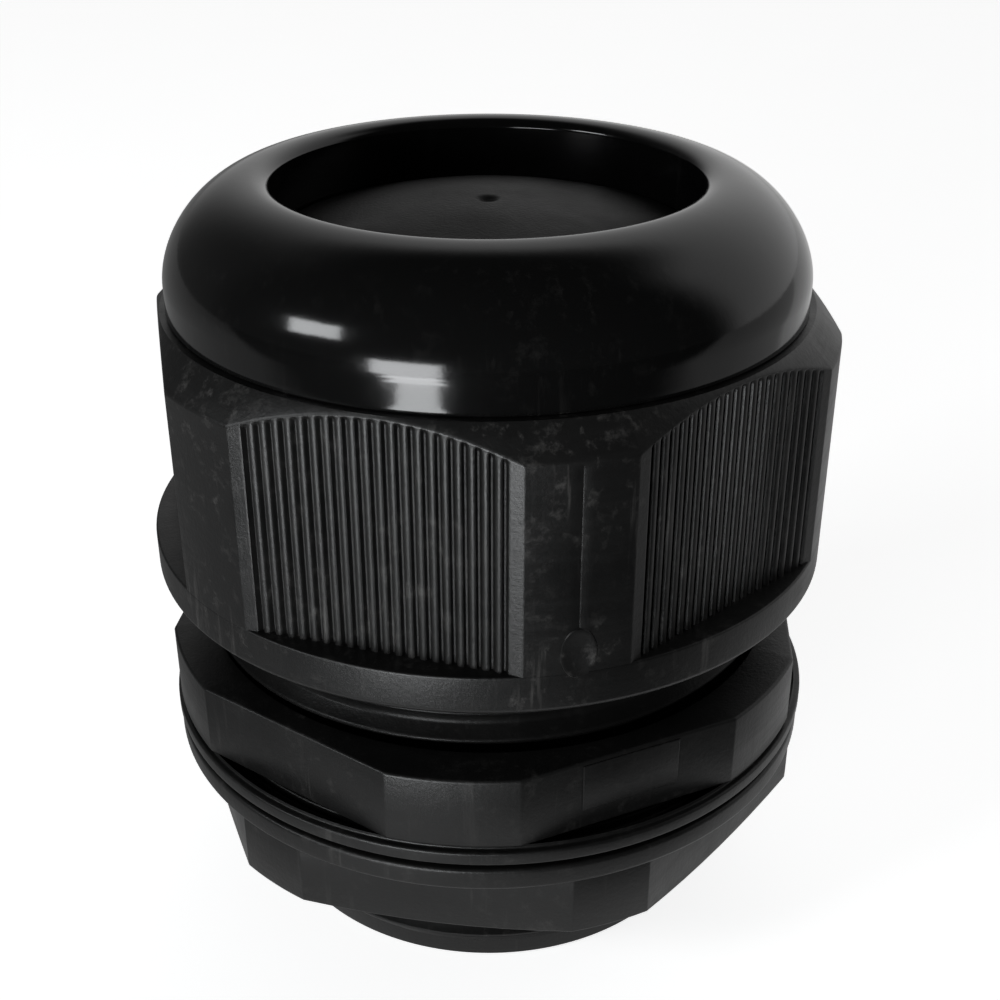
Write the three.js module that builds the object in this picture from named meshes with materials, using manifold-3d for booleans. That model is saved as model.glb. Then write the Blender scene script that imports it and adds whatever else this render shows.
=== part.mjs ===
// A dome-nut cable gland for a 50 mm panel entry, in millimetres, +Z up.
// The origin is at the centre of the entry thread's end face, which is the lowest face.
// From the bottom: entry thread with a lock nut and a flat gasket on it, a flange and hex body,
// a neck with a coarse thread that holds the clamping claw and its seal, and the dome nut,
// which carries a snapped-in dust disc under its rim.
import * as THREE from 'three';
import { mergeVertices } from 'three/addons/utils/BufferGeometryUtils.js';
import Module from 'manifold-3d';

const wasm = await Module();
wasm.setup();

// ---- Driving dimensions ----
const RUNNING_GAP = 0.3; // between pieces that turn or slide on each other
const SEAT_GAP = 0.3; // between a loose piece and the face it rests on
const ROUND_STEPS = 60; // facets around a turned surface

const cable = {
  maxRadius: 20,
  nutClearance: 0.3,
  sealClearance: 0.4,
  bodyClearance: 1.2,
};

const travel = {
  tighten: 7, // how far the dome nut still screws down from rest
  stopGap: 0.5, // left between nut and hexagon when it is tight
};

const entry = {
  majorRadius: 25,
  pitch: 1.5,
  threadDepth: 0.9,
  wall: 2.9,
  length: 20.3,
  pilotLength: 1.9, // plain end below the first thread
  pilotBreak: 0.3,
  stepsPerTurn: 28,
};

const gasket = {
  width: 5.3,
  thickness: 1.7,
  showing: 0.7,
};

const body = {
  flangeRim: 2.8, // outside the gasket's pocket
  flangeThickness: 1.4,
  grooveHeight: 0.4,
  grooveDepth: 0.7,
  cornerRise: 1.9,
  hexHeight: 7.5,
  neckHeight: 19.9,
  neckWall: 1.7,
  seatBelowNeckTop: 7.8,
};

const neck = {
  pitch: 3,
  threadDepth: 1.3,
  crestWidth: 0.6,
  flankWidth: 0.9,
  stepsPerTurn: 28,
};

const lockNut = {
  wallAtFlats: 5.2,
  cornerRise: 2.7,
  collarRise: 0.4,
  collarHeight: 2.3,
  height: 9.8,
  chamferRise: 1, // at the corners of the lower face
  chamferWidth: 3,
  edgeBreak: 0.4,
  leadIn: 0.4,
  turnDeg: 26,
};

const claw = {
  wall: 1.8,
  ringHeight: 5,
  reachIntoCone: 1.4,
  fingers: 12,
  slotWidth: 1.6,
  tipBreak: 0.8,
};

const seal = {
  thickness: 3.4,
  belowClawTop: 1,
  endBreak: 0.8,
};

const disc = {
  thickness: 1.5,
  rimThickness: 1.5,
  rimOverlap: 2.2, // how far the rim reaches outside the nut's bore
  rimStep: 0.5, // from the rim up to the foot of the dome
  crownBelowNutTop: 2.8,
  dimpleRadius: 1.3,
  dimpleDepth: 0.5,
  aboveTightClaw: 0.4,
};

const domeNut = {
  wallAtFlats: 2,
  cornerRise: 2.5,
  collarHeight: 3.9,
  collarBreak: 0.5,
  shoulderDrop: 2.65, // slopes at 45 degrees from the corners to the ledge around the dome
  ledgeWidth: 0.6,
  domeWall: 2.65, // straight part of the dome, above the ledge
  domeRise: 9,
  domeFullness: 1.78, // 2 is a true ellipse, and less is flatter across the shoulder
  lipWidth: 1.7,
  lipDrop: 1,
  topWall: 6.3,
  snapBead: 0.7, // holds the dust disc under the lip
  leadIn: 1.5,
  turnDeg: 18.5,
};

const ribs = {
  pitch: 1.12,
  plainEdge: 1.2, // smooth strip beside each corner
  topWidth: 0.6,
  grooveWidth: 0.3,
  grooveDepth: 0.45,
};

// ---- Radii, worked out from the cable outwards ----
const nutBoreRadius = cable.maxRadius + cable.nutClearance;
const sealBoreRadius = cable.maxRadius + cable.sealClearance;
const sealOuterRadius = sealBoreRadius + seal.thickness;
const clawInnerRadius = sealOuterRadius + RUNNING_GAP;
const clawOuterRadius = clawInnerRadius + claw.wall;
const counterboreRadius = clawOuterRadius + RUNNING_GAP;
const neckRootRadius = counterboreRadius + body.neckWall;
const neckMajorRadius = neckRootRadius + neck.threadDepth;
const domeNutFlat = neckMajorRadius + RUNNING_GAP + domeNut.wallAtFlats;
const domeNutCorner = domeNutFlat + domeNut.cornerRise;
const ledgeRadius = domeNutCorner - domeNut.shoulderDrop;
const domeRadius = ledgeRadius - domeNut.ledgeWidth;
const bodyFlat = domeNutFlat; // one spanner fits both
const bodyCorner = bodyFlat + body.cornerRise;

const entryRootRadius = entry.majorRadius - entry.threadDepth;
const gasketInnerRadius = entry.majorRadius + RUNNING_GAP;
const gasketOuterRadius = gasketInnerRadius + gasket.width;
const gasketPocketRadius = gasketOuterRadius + RUNNING_GAP;
const flangeRadius = Math.max(gasketPocketRadius + body.flangeRim, bodyCorner);
const lockNutFlat = entry.majorRadius + RUNNING_GAP + lockNut.wallAtFlats;
const lockNutCorner = lockNutFlat + lockNut.cornerRise;
const bodyBoreRadius = Math.min(cable.maxRadius + cable.bodyClearance, entryRootRadius - entry.wall);

// ---- Heights of the whole gland ----
const flangeBottom = entry.length;
const flangeTop = flangeBottom + body.flangeThickness;
const hexBottom = flangeTop + body.grooveHeight;
const hexTop = hexBottom + body.hexHeight;
const neckTop = hexTop + body.neckHeight;
const seatHeight = neckTop - body.seatBelowNeckTop;
const lockNutTop = flangeBottom - gasket.showing;
const lockNutBottom = lockNutTop - lockNut.height;
const domeNutBottom = hexTop + travel.tighten + travel.stopGap;

// ---- Heights inside the dome nut, from its lower face ----
const nutThreadTop = neckTop - domeNutBottom + travel.tighten + RUNNING_GAP;
const coneBottom = nutThreadTop + RUNNING_GAP;
const coneTop = coneBottom + travel.tighten + claw.reachIntoCone + disc.aboveTightClaw;
const discPocketBottom = coneTop + domeNut.snapBead;
const discRimBottom = discPocketBottom + SEAT_GAP;
const discRimTop = discRimBottom + disc.rimThickness;
const lipUnderside = discRimTop + SEAT_GAP;
const domeNutHeight = lipUnderside + domeNut.topWall;
const domeSpring = domeNutHeight - domeNut.domeRise;
const shoulderTop = domeSpring - domeNut.domeWall;
const shoulderBottom = shoulderTop - domeNut.shoulderDrop;
const discCrown = domeNutHeight - disc.crownBelowNutTop;
const discRimRadius = nutBoreRadius + disc.rimOverlap;
const discDomeRadius = nutBoreRadius - RUNNING_GAP;

// ---- Heights of the claw and seal, from the body's seat ----
const clawBottom = seatHeight + SEAT_GAP;
const clawLength = domeNutBottom + coneBottom + claw.reachIntoCone - clawBottom;
const sealLength = clawLength - seal.belowClawTop;

// ---- Shared shape helpers ----
const radians = THREE.MathUtils.degToRad;
const point = (r, z) => new THREE.Vector2(r, z);

/** A closed geometry as a manifold solid. */
function solidFrom(geometry) {
  const bare = geometry.clone();
  bare.deleteAttribute('normal');
  bare.deleteAttribute('uv');
  const merged = mergeVertices(bare, 1e-5);
  const mesh = new wasm.Mesh({
    numProp: 3,
    vertProperties: new Float32Array(merged.attributes.position.array),
    triVerts: new Uint32Array(merged.index.array),
  });
  mesh.merge();
  return new wasm.Manifold(mesh);
}

/** A manifold solid as a three.js geometry. */
function geometryFrom(solid) {
  const { vertProperties, triVerts } = solid.getMesh();
  const geometry = new THREE.BufferGeometry();
  geometry.setAttribute('position', new THREE.BufferAttribute(vertProperties, 3));
  geometry.setIndex(new THREE.BufferAttribute(triVerts, 1));
  geometry.computeVertexNormals();
  return geometry;
}

/** Turns a closed outline of (radius, height) points, listed with the outside going up. */
function turned(outline, steps = ROUND_STEPS) {
  const closed = [...outline, outline[0].clone()];
  const profile = outline[0].x === 0 ? outline : closed;
  const geometry = new THREE.LatheGeometry(profile, steps);
  geometry.rotateX(Math.PI / 2);
  return solidFrom(geometry);
}

/** A plain disc or cylinder from one height to another. */
function cylinder(radius, bottom, top) {
  return turned([point(0, bottom), point(radius, bottom), point(radius, top), point(0, top)]);
}

/**
 * Points on an elliptical arc around (r, z), from one angle to another, both in degrees.
 * A fullness of 2 is a true ellipse.
 */
function arc(r, z, width, height, fromDeg, toDeg, steps, fullness = 2) {
  const eased = (value) => Math.sign(value) * Math.abs(value) ** (2 / fullness);
  return Array.from({ length: steps + 1 }, (_, i) => {
    const angle = radians(fromDeg + ((toDeg - fromDeg) * i) / steps);
    return point(r + width * eased(Math.cos(angle)), z + height * eased(Math.sin(angle)));
  });
}

/** The direction, in degrees from +X, of the middle of corner number i. Corner 0 points along -Y. */
const cornerDirection = (i) => 60 * i - 90;

/** Half of the angle that one rounded corner face spans, in degrees. */
function cornerHalfAngle(flatRadius, cornerRadius) {
  return 30 - THREE.MathUtils.radToDeg(Math.acos(flatRadius / cornerRadius));
}

/** Grooves beside the ribs of one flat, as outline points along the flat. */
function ribbedFlat(direction, flatRadius, cornerRadius) {
  const normal = new THREE.Vector2(Math.cos(radians(direction)), Math.sin(radians(direction)));
  const along = new THREE.Vector2(-normal.y, normal.x);
  const at = (s, depth) => normal.clone().multiplyScalar(flatRadius - depth).addScaledVector(along, s);
  const mouth = ribs.pitch - ribs.topWidth;
  const flatWidth = 2 * Math.sqrt(cornerRadius ** 2 - flatRadius ** 2);
  const count = Math.floor((flatWidth - 2 * ribs.plainEdge - mouth) / ribs.pitch);
  const points = [];
  for (let i = 0; i <= count; i += 1) {
    const middle = (i - count / 2) * ribs.pitch;
    points.push(at(middle - mouth / 2, 0), at(middle - ribs.grooveWidth / 2, ribs.grooveDepth));
    points.push(at(middle + ribs.grooveWidth / 2, ribs.grooveDepth), at(middle + mouth / 2, 0));
  }
  return points;
}

/** A hexagonal prism with rounded corners, with or without ribs on its flats. */
function hexPrism(flatRadius, cornerRadius, bottom, top, hasRibs = false) {
  const half = cornerHalfAngle(flatRadius, cornerRadius);
  const steps = 4;
  const outline = [];
  for (let i = 0; i < 6; i += 1) {
    for (let k = 0; k <= steps; k += 1) {
      const angle = radians(cornerDirection(i) - half + (2 * half * k) / steps);
      outline.push(point(cornerRadius * Math.cos(angle), cornerRadius * Math.sin(angle)));
    }
    if (hasRibs) outline.push(...ribbedFlat(cornerDirection(i) + 30, flatRadius, cornerRadius));
  }
  const geometry = new THREE.ExtrudeGeometry(new THREE.Shape(outline), {
    depth: top - bottom,
    bevelEnabled: false,
  });
  geometry.translate(0, 0, bottom);
  return solidFrom(geometry);
}

/**
 * A screw-shaped rod. The profile is one pitch long, as [radius, height] pairs, and follows a
 * right-handed helix. The thread passes through `phase` height in the +X direction. The rod
 * covers at least bottom..top, and its two ends are left for an envelope to trim.
 */
function screwRod(profile, pitch, phase, bottom, top, stepsPerTurn) {
  const start = phase + (Math.floor((bottom - phase) / pitch) - 2) * pitch;
  const turns = Math.ceil((top - start) / pitch) + 1;
  const steps = turns * stepsPerTurn;
  const rows = profile.length;
  const vertices = [];
  const place = (k, j) => {
    const angle = (2 * Math.PI * k) / stepsPerTurn;
    const z = start + (pitch * k) / stepsPerTurn + profile[j][1];
    vertices.push(profile[j][0] * Math.cos(angle), profile[j][0] * Math.sin(angle), z);
  };
  for (let k = 0; k <= steps; k += 1) {
    for (let j = 0; j < rows; j += 1) place(k, j);
  }
  const tail = vertices.length / 3;
  for (let k = steps + 1; k <= steps + stepsPerTurn; k += 1) place(k, 0);
  const index = (k, j) => {
    if (j === rows) return index(k + stepsPerTurn, 0);
    return k <= steps ? k * rows + j : tail + k - steps - 1;
  };
  const lowCentre = vertices.length / 3;
  vertices.push(0, 0, start, 0, 0, start + pitch * (turns + 1));
  const highCentre = lowCentre + 1;
  const faces = [];
  for (let k = 0; k < steps; k += 1) {
    for (let j = 0; j < rows; j += 1) {
      faces.push(index(k, j), index(k + 1, j), index(k + 1, j + 1));
      faces.push(index(k, j), index(k + 1, j + 1), index(k, j + 1));
    }
  }
  for (let k = 0; k < stepsPerTurn; k += 1) {
    faces.push(lowCentre, index(k + 1, 0), index(k, 0));
    faces.push(highCentre, index(steps + k, 0), index(steps + k + 1, 0));
  }
  for (let j = 0; j < rows; j += 1) {
    faces.push(lowCentre, index(0, j), index(0, j + 1));
    faces.push(highCentre, index(steps, j + 1), index(steps, j));
  }
  return new wasm.Manifold(
    new wasm.Mesh({
      numProp: 3,
      vertProperties: new Float32Array(vertices),
      triVerts: new Uint32Array(faces),
    }),
  );
}

/** The V-shaped entry thread, grown by a clearance for an internal thread. */
function entryScrew(phase, bottom, top, clearance = 0) {
  const root = entryRootRadius + clearance;
  const crest = entry.majorRadius + clearance;
  const profile = [[root, 0], [crest, entry.pitch / 2]];
  return screwRod(profile, entry.pitch, phase, bottom, top, entry.stepsPerTurn);
}

/** The coarse neck thread, grown by a clearance for an internal thread. */
function neckScrew(phase, bottom, top, clearance = 0) {
  const root = neckRootRadius + clearance;
  const crest = neckMajorRadius + clearance;
  const profile = [
    [root, 0],
    [crest, neck.flankWidth],
    [crest, neck.flankWidth + neck.crestWidth],
    [root, 2 * neck.flankWidth + neck.crestWidth],
  ];
  return screwRod(profile, neck.pitch, phase, bottom, top, neck.stepsPerTurn);
}

/** The height at which a thread of the whole part passes +X in a piece placed at (height, turn). */
function threadPhase(pitch, height, turnDeg) {
  return (pitch * turnDeg) / 360 - height;
}

function material(color, roughness) {
  return new THREE.MeshStandardMaterial({ color, roughness, metalness: 0 });
}

function piece(name, solid, look) {
  const mesh = new THREE.Mesh(geometryFrom(solid), look);
  mesh.name = name;
  return mesh;
}

// ---- Pieces ----

/** Hex body with its flange, neck, both outside threads and the cable bore. */
function glandBody() {
  const pilotRadius = entryRootRadius - 0.1;
  const threadStart = 2;
  const entryEnvelope = turned([
    point(0, 0),
    point(pilotRadius - entry.pilotBreak, 0),
    point(pilotRadius, entry.pilotBreak),
    point(pilotRadius, entry.pilotLength),
    point(pilotRadius + threadStart, entry.pilotLength + threadStart),
    point(pilotRadius + threadStart, hexBottom),
    point(0, hexBottom),
  ]);
  const entryPart = entryScrew(0, 0, hexBottom).intersect(entryEnvelope);

  const grooveRadius = flangeRadius - body.grooveDepth;
  const pocketTop = flangeBottom + gasket.thickness - gasket.showing;
  const flange = turned([
    point(0, flangeBottom),
    point(flangeRadius, flangeBottom),
    point(flangeRadius, flangeTop),
    point(grooveRadius, flangeTop),
    point(grooveRadius, hexBottom + body.grooveDepth),
    point(0, hexBottom + body.grooveDepth),
  ]);
  const pocket = turned([
    point(bodyBoreRadius, flangeBottom - 1),
    point(gasketPocketRadius, flangeBottom - 1),
    point(gasketPocketRadius, pocketTop),
    point(bodyBoreRadius, pocketTop),
  ]);
  const hex = hexPrism(bodyFlat, bodyCorner, hexBottom, hexTop);

  const neckEnvelope = turned([
    point(0, hexTop - 1),
    point(neckMajorRadius + 1, hexTop - 1),
    point(neckMajorRadius + 1, neckTop - neck.threadDepth - 1),
    point(neckRootRadius, neckTop),
    point(0, neckTop),
  ]);
  const neckPart = neckScrew(0, hexTop, neckTop).intersect(neckEnvelope);

  const bore = turned([
    point(0, -1),
    point(bodyBoreRadius, -1),
    point(bodyBoreRadius, seatHeight),
    point(counterboreRadius, seatHeight),
    point(counterboreRadius, neckTop + 1),
    point(0, neckTop + 1),
  ]);
  return flange.subtract(pocket).add(entryPart).add(hex).add(neckPart).subtract(bore);
}

/** Flat rubber washer in the pocket under the flange. */
function flangeGasket() {
  return turned([
    point(gasketInnerRadius, 0),
    point(gasketOuterRadius, 0),
    point(gasketOuterRadius, gasket.thickness),
    point(gasketInnerRadius, gasket.thickness),
  ]);
}

/** Hexagonal lock nut with a round collar on the gasket side. */
function lockNutSolid() {
  const collarBottom = lockNut.height - lockNut.collarHeight;
  const chamferFoot = lockNutCorner - lockNut.chamferWidth;
  const chamfered = turned([
    point(0, 0),
    point(chamferFoot, 0),
    point(lockNutCorner + lockNut.chamferWidth, 2 * lockNut.chamferRise),
    point(lockNutCorner + lockNut.chamferWidth, collarBottom + 2),
    point(0, collarBottom + 2),
  ]);
  const hex = hexPrism(lockNutFlat, lockNutCorner, 0, collarBottom + 1).intersect(chamfered);
  const collarRadius = lockNutCorner + lockNut.collarRise;
  const collar = turned([
    point(0, collarBottom),
    point(collarRadius, collarBottom),
    point(collarRadius, lockNut.height - lockNut.edgeBreak),
    point(collarRadius - lockNut.edgeBreak, lockNut.height),
    point(0, lockNut.height),
  ]);
  const phase = threadPhase(entry.pitch, lockNutBottom, lockNut.turnDeg);
  const screw = entryScrew(phase, 0, lockNut.height, RUNNING_GAP);
  const leadIn = entry.majorRadius + RUNNING_GAP + lockNut.leadIn;
  const bothLeadIns = turned([
    point(0, -1),
    point(leadIn + 1, -1),
    point(entryRootRadius, leadIn - entryRootRadius),
    point(entryRootRadius, lockNut.height - leadIn + entryRootRadius),
    point(leadIn + 1, lockNut.height + 1),
    point(0, lockNut.height + 1),
  ]);
  return hex.add(collar).subtract(screw).subtract(bothLeadIns);
}

/** Slotted ring whose fingers the dome nut presses onto the seal. */
function clampingClaw() {
  const ring = turned([
    point(clawInnerRadius, 0),
    point(clawOuterRadius, 0),
    point(clawOuterRadius, clawLength - claw.tipBreak),
    point(clawOuterRadius - claw.tipBreak, clawLength),
    point(clawInnerRadius, clawLength),
  ]);
  const slotLength = clawLength - claw.ringHeight + 1;
  const blade = new THREE.BoxGeometry(2 * clawOuterRadius + 2, claw.slotWidth, slotLength);
  blade.translate(0, 0, claw.ringHeight + slotLength / 2);
  let slotted = ring;
  for (let i = 0; i < claw.fingers / 2; i += 1) {
    const turnedBlade = blade.clone().rotateZ(radians((360 / claw.fingers) * (i + 0.5)));
    slotted = slotted.subtract(solidFrom(turnedBlade));
  }
  return slotted;
}

/** Rubber sleeve that grips the cable. */
function sealInsert() {
  return turned([
    point(sealBoreRadius + seal.endBreak, 0),
    point(sealOuterRadius, 0),
    point(sealOuterRadius, sealLength - seal.endBreak),
    point(sealOuterRadius - seal.endBreak, sealLength),
    point(sealBoreRadius + seal.endBreak, sealLength),
    point(sealBoreRadius, sealLength - seal.endBreak),
    point(sealBoreRadius, seal.endBreak),
  ]);
}

/** Height of the disc's crown surface at a radius, in the dome nut's frame. */
function discSurface(r) {
  const foot = discRimTop + disc.rimStep;
  return discCrown - (discCrown - foot) * (r / discDomeRadius) ** 2;
}

/** Domed dust disc with a flat rim and a small dimple in its middle. */
function dustDisc() {
  const crown = 4;
  const over = Array.from({ length: crown + 1 }, (_, i) => {
    const r = discDomeRadius + ((disc.dimpleRadius - discDomeRadius) * i) / crown;
    return point(r, discSurface(r));
  });
  const under = Array.from({ length: crown }, (_, i) => {
    const r = ((discDomeRadius - disc.thickness) * i) / (crown - 1);
    return point(r, discSurface(r) - disc.thickness);
  });
  return turned([
    ...under,
    point(discDomeRadius - disc.thickness, discRimBottom),
    point(discRimRadius, discRimBottom),
    point(discRimRadius, discRimTop),
    point(discDomeRadius, discRimTop),
    ...over,
    point(0, discCrown - disc.dimpleDepth),
  ]);
}

/** Dome nut with ribbed flats, a coarse inside thread and the cone that closes the claw. */
function domeNutSolid() {
  const crownRadius = nutBoreRadius + domeNut.lipWidth;
  const domeWidth = domeRadius - crownRadius;
  const sideBottom = domeNut.collarHeight - 1;
  const side = hexPrism(domeNutFlat, domeNutCorner, sideBottom, shoulderTop + 1, true);
  const outer = turned([
    point(0, 0),
    point(domeNutCorner - domeNut.collarBreak, 0),
    point(domeNutCorner, domeNut.collarBreak),
    point(domeNutCorner, shoulderBottom),
    point(ledgeRadius, shoulderTop),
    point(domeRadius, shoulderTop),
    ...arc(crownRadius, domeSpring, domeWidth, domeNut.domeRise, 0, 90, 6, domeNut.domeFullness),
    point(0, domeNutHeight),
  ]);
  const collar = cylinder(domeNutCorner + 1, -1, domeNut.collarHeight);
  const crown = cylinder(domeNutCorner + 1, shoulderTop, domeNutHeight + 1);
  const shell = outer.intersect(collar.add(side).add(crown));

  const innerWall = neckRootRadius - RUNNING_GAP;
  const pocketRadius = discRimRadius + RUNNING_GAP;
  const hollow = turned([
    point(0, nutThreadTop - 1),
    point(innerWall, nutThreadTop - 1),
    point(innerWall, coneBottom),
    point(pocketRadius - domeNut.snapBead, coneTop),
    point(pocketRadius, discPocketBottom),
    point(pocketRadius, lipUnderside),
    point(nutBoreRadius, lipUnderside),
    ...arc(crownRadius, domeNutHeight - domeNut.lipDrop, domeNut.lipWidth, domeNut.lipDrop, 180, 90, 4),
    point(crownRadius, domeNutHeight + 1),
    point(0, domeNutHeight + 1),
  ]);
  const phase = threadPhase(neck.pitch, domeNutBottom, domeNut.turnDeg);
  const screwEnvelope = cylinder(domeNutFlat, -1, nutThreadTop);
  const screw = neckScrew(phase, 0, nutThreadTop, RUNNING_GAP).intersect(screwEnvelope);
  const mouth = neckMajorRadius + RUNNING_GAP;
  const leadIn = turned([
    point(0, -1),
    point(mouth + 1, -1),
    point(mouth - domeNut.leadIn, domeNut.leadIn),
    point(0, domeNut.leadIn),
  ]);
  return shell.subtract(hollow).subtract(screw).subtract(leadIn);
}

// ---- Assembly ----
const nylon = () => material(0x17171a, 0.45);
const rubber = () => material(0x0e0e0f, 0.85);

const group = new THREE.Group();

group.add(piece('gland_body', glandBody(), nylon()));

const washer = piece('flange_gasket', flangeGasket(), rubber());
washer.position.z = lockNutTop;
group.add(washer);

const backNut = piece('lock_nut', lockNutSolid(), nylon());
backNut.position.z = lockNutBottom;
backNut.rotation.z = radians(lockNut.turnDeg);
group.add(backNut);

const insert = new THREE.Group();
insert.position.z = clawBottom;
insert.add(piece('clamping_claw', clampingClaw(), nylon()));
insert.add(piece('seal_insert', sealInsert(), rubber()));
group.add(insert);

const cap = new THREE.Group();
cap.position.z = domeNutBottom;
const capNut = piece('dome_nut', domeNutSolid(), nylon());
capNut.rotation.z = radians(domeNut.turnDeg);
cap.add(capNut);
cap.add(piece('dust_disc', dustDisc(), rubber()));
group.add(cap);

export default group;
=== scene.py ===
"""Looks for the dome-nut cable gland: detailed pieces, materials, light and camera."""
import bpy
from math import acos, ceil, copysign, cos, degrees, floor, hypot, pi, radians, sin, sqrt
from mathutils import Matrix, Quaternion, Vector


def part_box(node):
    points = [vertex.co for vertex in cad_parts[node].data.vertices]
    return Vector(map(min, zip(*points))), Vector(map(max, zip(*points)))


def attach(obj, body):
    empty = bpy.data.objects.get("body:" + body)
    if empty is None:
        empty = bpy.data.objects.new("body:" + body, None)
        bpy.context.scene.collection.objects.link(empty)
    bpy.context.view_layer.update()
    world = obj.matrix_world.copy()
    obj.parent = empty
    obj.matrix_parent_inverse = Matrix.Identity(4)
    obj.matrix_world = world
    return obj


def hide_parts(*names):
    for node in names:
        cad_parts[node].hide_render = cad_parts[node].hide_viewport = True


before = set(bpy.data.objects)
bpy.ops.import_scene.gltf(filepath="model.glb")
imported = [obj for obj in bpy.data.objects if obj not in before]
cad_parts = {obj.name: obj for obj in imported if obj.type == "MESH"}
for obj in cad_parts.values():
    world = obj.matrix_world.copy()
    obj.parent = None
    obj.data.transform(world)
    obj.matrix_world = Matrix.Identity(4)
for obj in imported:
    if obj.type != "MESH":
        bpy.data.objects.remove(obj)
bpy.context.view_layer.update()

MM = 0.001

# ---- Sizes, in millimetres, in the part's frame ----


def heights(node):
    """Lowest and highest point of a CAD node."""
    low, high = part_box(node)
    return low.z / MM, high.z / MM


GAP = 0.3  # running room between pieces
SEAM_DEPTH = 0.05
TUCK = 0.05  # how far one surface runs on behind the next, so that no slit shows

entry_end, neck_top = heights("gland_body")
lock_bottom, lock_top = heights("lock_nut")
gasket_bottom, gasket_top = heights("flange_gasket")
claw_bottom, claw_top = heights("clamping_claw")
seal_bottom, seal_top = heights("seal_insert")
disc_bottom, _ = heights("dust_disc")
nut_bottom, nut_top = heights("dome_nut")

# gland body
FLANGE = 33.7
FLANGE_BOTTOM = lock_top + 0.7
FLANGE_TOP = FLANGE_BOTTOM + 1.4
FLANGE_GROOVE_DEPTH, FLANGE_GROOVE_HEIGHT = 0.7, 0.4
HEX_BOTTOM = FLANGE_TOP + FLANGE_GROOVE_HEIGHT
HEX_TOP = HEX_BOTTOM + 7.5
HEX_EDGE = 0.3
HEX_FOOT_RADIUS = 29.5
SEAT = neck_top - 7.8
ENTRY = {"root": 24.1, "crest": 25.0, "pitch": 1.5}
PILOT_RADIUS, PILOT_LENGTH = 24.0, 1.9
NECK = {"root": 27.9, "crest": 29.2, "pitch": 3.0}
NECK_CREST_FLAT, NECK_ROOT_FLAT = 0.12, 0.26
NECK_TAPER_HEIGHT, NECK_TAPER_SLOPE = 2.3, 0.6
BODY_BORE = 21.2
BORE_CHAMFER_WIDTH, BORE_CHAMFER_HEIGHT = 0.5, 0.6
CLAW_BORE = 26.2
BODY_FLAT, BODY_CORNER = 31.5, 33.4
PAD_ANGLE = 30
PAD_HALF_WIDTH = 5.0
PAD_BOTTOM, PAD_TOP = HEX_TOP - 5.4, HEX_TOP - 0.35

# gasket and lock nut
GASKET_IN, GASKET_OUT = 25.3, 30.6
LOCK_FLAT, LOCK_CORNER, LOCK_COLLAR = 30.5, 33.2, 33.58
LOCK_CHAMFER_WIDTH, LOCK_CHAMFER_RISE = 3.0, 1.0
LOCK_COLLAR_HEIGHT = 2.3
LOCK_LEAD_IN = 0.7
LOCK_HEX_END, LOCK_HEX_TUCK = 1.5, 0.35  # inside the collar
LOCK_COLLAR_FOOT = 1.2
LOCK_TURN = 26.0

# claw, seal and disc
CLAW_IN, CLAW_OUT = 24.1, 25.9
CLAW_BASE_HEIGHT = 5
CLAW_FINGERS = 12
CLAW_HALF_SLOT = 0.8
CLAW_TIP_BEVEL = 0.8
SEAL_IN, SEAL_OUT = 20.4, 23.8
SEAL_BEVEL = 1.3
DISC_RIM = 22.5
DISC_RIM_HEIGHT = 1.5
DISC_DOME = 20.0
DISC_STEP = 0.5
DISC_THICKNESS = 1.5
DISC_RINGS = 16
DISC_UNDER_RINGS, DISC_UNDER_STEP = 8, 2.2
DISC_CROWN = nut_top - 2.8
DIMPLE_RADIUS, DIMPLE_DEPTH = 1.3, 0.5

# dome nut
NUT_FLAT, NUT_CORNER = 31.5, 33.98
NUT_BORE = 20.3
NUT_TURN = 18.5
NUT_LEAD_IN, NUT_LEAD_IN_HEIGHT = 0.7, 0.9
NUT_THREAD_START = 1.9
NUT_CHAMFER_WIDTH, NUT_CHAMFER_HEIGHT = 0.35, 0.45
NUT_COLLAR_FOOT = 1.2
COLLAR_TOP = nut_bottom + 3.9
CROWN_RADIUS = 22.0
DOME_RADIUS = 30.75
DOME_RISE = 9.0
DOME_FULLNESS = 1.78
DOME_SPRING = nut_top - DOME_RISE
LEDGE_RADIUS = 31.35
LEDGE = DOME_SPRING - 2.65
DOME_EDGE = 0.3
DOME_FOOT_HEIGHTS = (0.9, 1.8)
LIP_DROP = 1.0
RIB_PITCH = 1.12
RIB_COUNT = 20
GROOVE_DEPTH = 0.45
LIP_UNDERSIDE = nut_top - 6.3
POCKET_HEIGHT = 2.1
SNAP_BEAD = 0.7
OVAL_HALF_WIDTH, OVAL_HALF_HEIGHT = 1.6, 2.45
OVAL_HEIGHT = 42.9
TIGHTENING = 7
THREAD_TUCK = 0.02
THREAD_TOP = neck_top + TIGHTENING + GAP

TURN_STEPS = 192

# ---- Looks: linear colours, strengths relative to white, and metres on the floor ----

BUMP_DISTANCE = 0.0001
GLOSS_ROUGHNESS = (0.09, 0.15)
GLOSS_COLOUR = 0.003
GLOSS_FADE = 0.3  # millimetres of height
TABLE_AND_SHADE_COLOUR = 0.02
PAPER_GLOW = 0.45
PAPER_WHITE = 0.78

# Where the gland sees lit paper instead of table: behind an edge in front of it. Beyond a diagonal
# line to the front right the paper carries painted shade, lighter where that is nearly beside it.
# Painted shade also makes the paper dimmer on the left.
PAPER_FRONT_EDGE = (-0.105, -0.060)
PAPER_SHADE_EDGE, PAPER_SHADE_LEVEL = (0.050, 0.064), 0.06
PAPER_BESIDE_SLOPE = 0.45
PAPER_BESIDE_EDGE, PAPER_BESIDE_LEVEL = (-0.03, 0.03), 0.6
PAPER_LEFT_SHADE_EDGE, PAPER_LEFT_SHADE_LEVEL = (-0.060, -0.015), 0.30


# ---- Mesh helpers ----


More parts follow.
